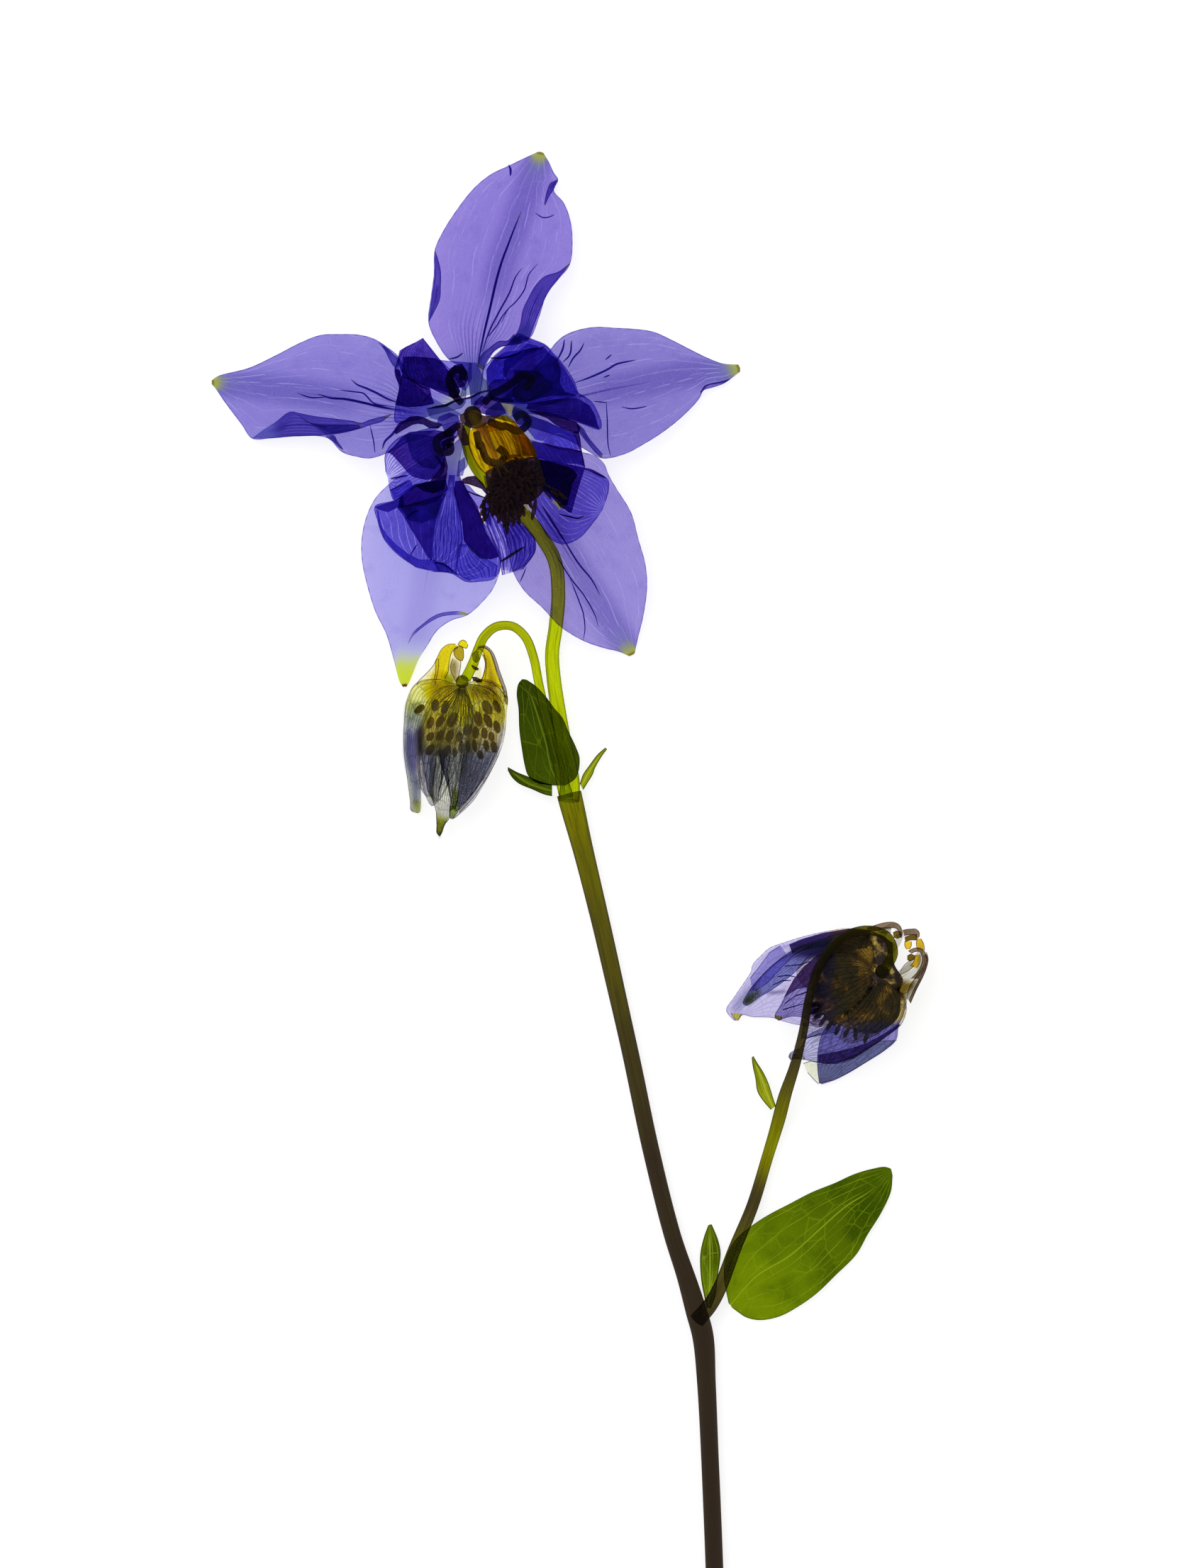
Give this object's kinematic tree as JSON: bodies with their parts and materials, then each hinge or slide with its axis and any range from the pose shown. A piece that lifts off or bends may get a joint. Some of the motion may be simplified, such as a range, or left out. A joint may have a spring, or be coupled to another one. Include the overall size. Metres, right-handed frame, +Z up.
{
  "type": "cut columbine flowering stem",
  "caption": "Cut, lightly pressed columbine stem lying flat: an open blue-violet spurred flower, nodding buds, small leaves and bracts.",
  "frame": {"origin": "on the table, under the middle of the piece's bounding box", "axes": "+Y runs along the stem from its cut end towards the open flower, +Z points up from the table"},
  "size_m": [0.0802, 0.1661, 0.0094],
  "materials": {
    "stem_green": "smooth plant stem, olive green above and dark brown-green below, finely ribbed",
    "leaf_green": "thin leaf, translucent grass green with pale veins",
    "bract_green": "thin bract, darker olive green with pale veins",
    "sepal_violet": "thin translucent blue-violet sepal with fine veins and a green tip",
    "petal_indigo": "thin translucent deep indigo petal with fine veins",
    "anther_brown": "matt dark brown anthers on short filaments",
    "stamen_ochre": "ochre filaments with near-black anthers",
    "pistil_green": "smooth pale green carpels",
    "bud_sepal_grey": "thin translucent grey-blue sepal, yellow-green near its claw",
    "bud_petal_ochre": "thin translucent yellow-olive petal and spur",
    "half_sepal_violet": "thin translucent grey-violet sepal with a pale green tip",
    "half_petal_violet": "thin translucent dusky violet petal with an ochre spur"
  },
  "bodies": {
    "root": {"stem": "stem_green", "pistil": "pistil_green", "stamens": "stamen_ochre", "bud_stamens": "anther_brown", "half_stamens": "anther_brown", "leaf_lower_large": "leaf_green", "leaf_lower_small": "leaf_green", "bract_upper_broad": "bract_green", "bract_upper_left": "bract_green", "bract_upper_right": "bract_green", "bract_stalk": "bract_green", "sepal_top": "sepal_violet", "sepal_left": "sepal_violet", "sepal_lower_left": "sepal_violet", "sepal_lower_right": "sepal_violet", "sepal_right": "sepal_violet", "petal_upper_left": "petal_indigo", "petal_upper_right": "petal_indigo", "petal_lower_right": "petal_indigo", "petal_lower_left": "petal_indigo", "petal_left": "petal_indigo", "bud_sepal_1": "bud_sepal_grey", "bud_petal_1": "bud_petal_ochre", "half_sepal_1": "half_sepal_violet", "half_petal_1": "half_petal_violet", "bud_sepal_2": "bud_sepal_grey", "bud_petal_2": "bud_petal_ochre", "half_sepal_2": "half_sepal_violet", "half_petal_2": "half_petal_violet", "bud_sepal_3": "bud_sepal_grey", "bud_petal_3": "bud_petal_ochre", "half_sepal_3": "half_sepal_violet", "half_petal_3": "half_petal_violet", "bud_sepal_4": "bud_sepal_grey", "bud_petal_4": "bud_petal_ochre", "half_sepal_4": "half_sepal_violet", "half_petal_4": "half_petal_violet", "bud_sepal_5": "bud_sepal_grey", "bud_petal_5": "bud_petal_ochre", "half_sepal_5": "half_sepal_violet", "half_petal_5": "half_petal_violet"}
  },
  "joints": []
}
